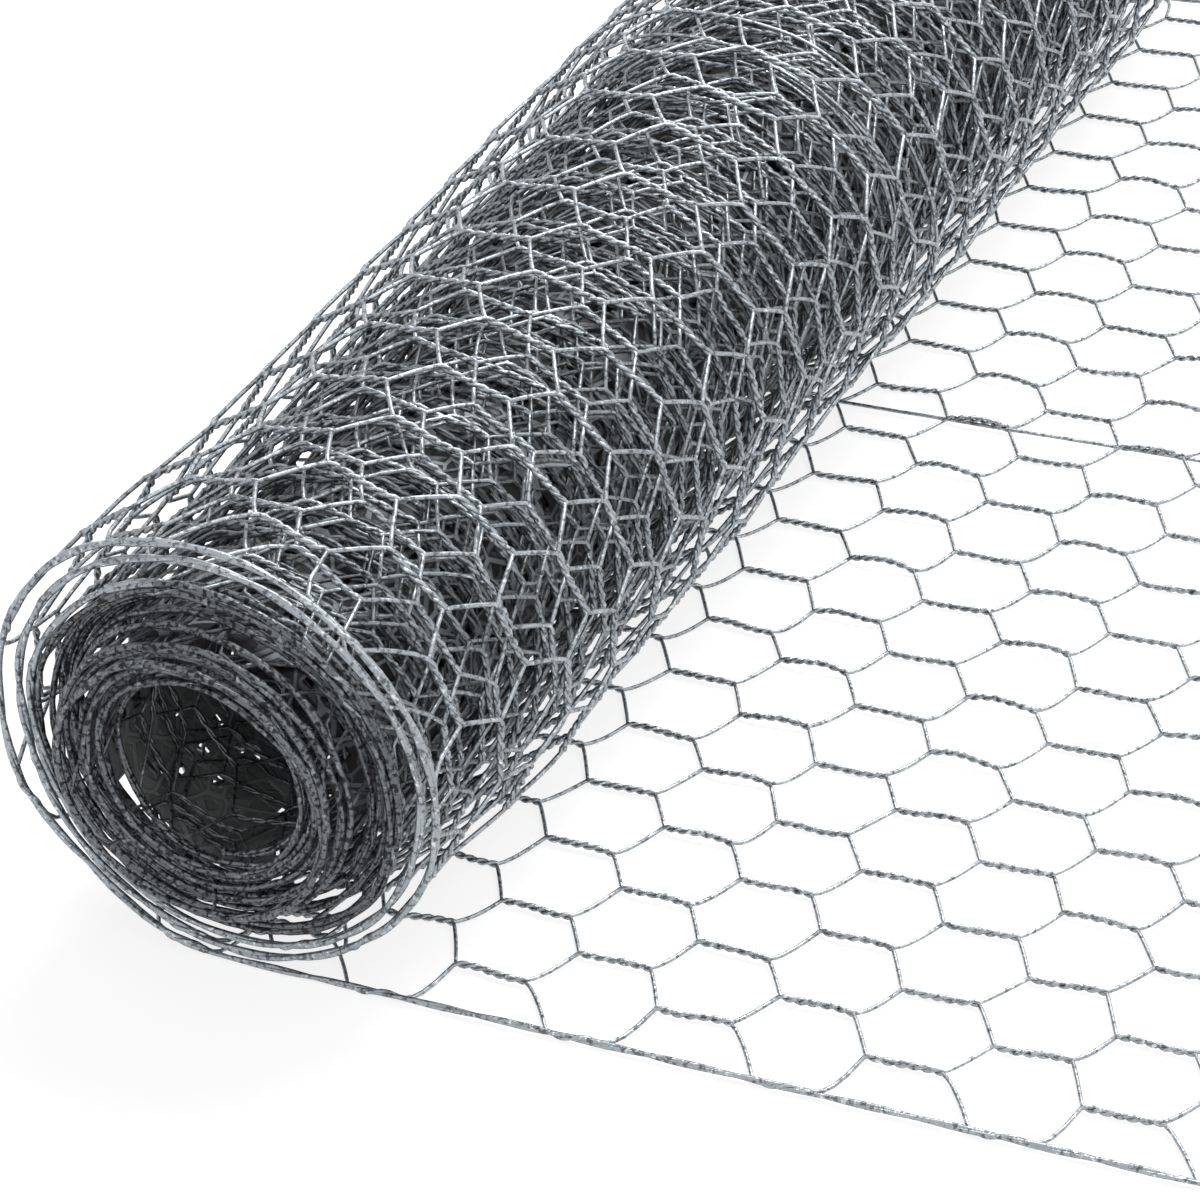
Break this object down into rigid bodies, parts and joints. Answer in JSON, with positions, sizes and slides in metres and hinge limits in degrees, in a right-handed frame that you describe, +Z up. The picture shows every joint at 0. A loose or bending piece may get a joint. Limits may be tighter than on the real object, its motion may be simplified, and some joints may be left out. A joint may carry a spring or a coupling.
{
  "type": "roll of wire netting",
  "caption": "Roll of galvanised hexagonal wire netting lying on its side, with its free end rolled out flat on the floor; used for fences, runs and plant guards.",
  "frame": {"origin": "on the floor, under the axis of the roll and half way along it, on the underside of the middle line wire", "axes": "+X the way the free end runs out from the roll, +Y along the axis of the roll, +Z up"},
  "size_m": [0.3225, 0.6, 0.124],
  "materials": {
    "galvanised_wire": "hot-dip galvanised"
  },
  "bodies": {
    "root": {"roll": "galvanised_wire", "tail": "galvanised_wire"}
  },
  "joints": []
}
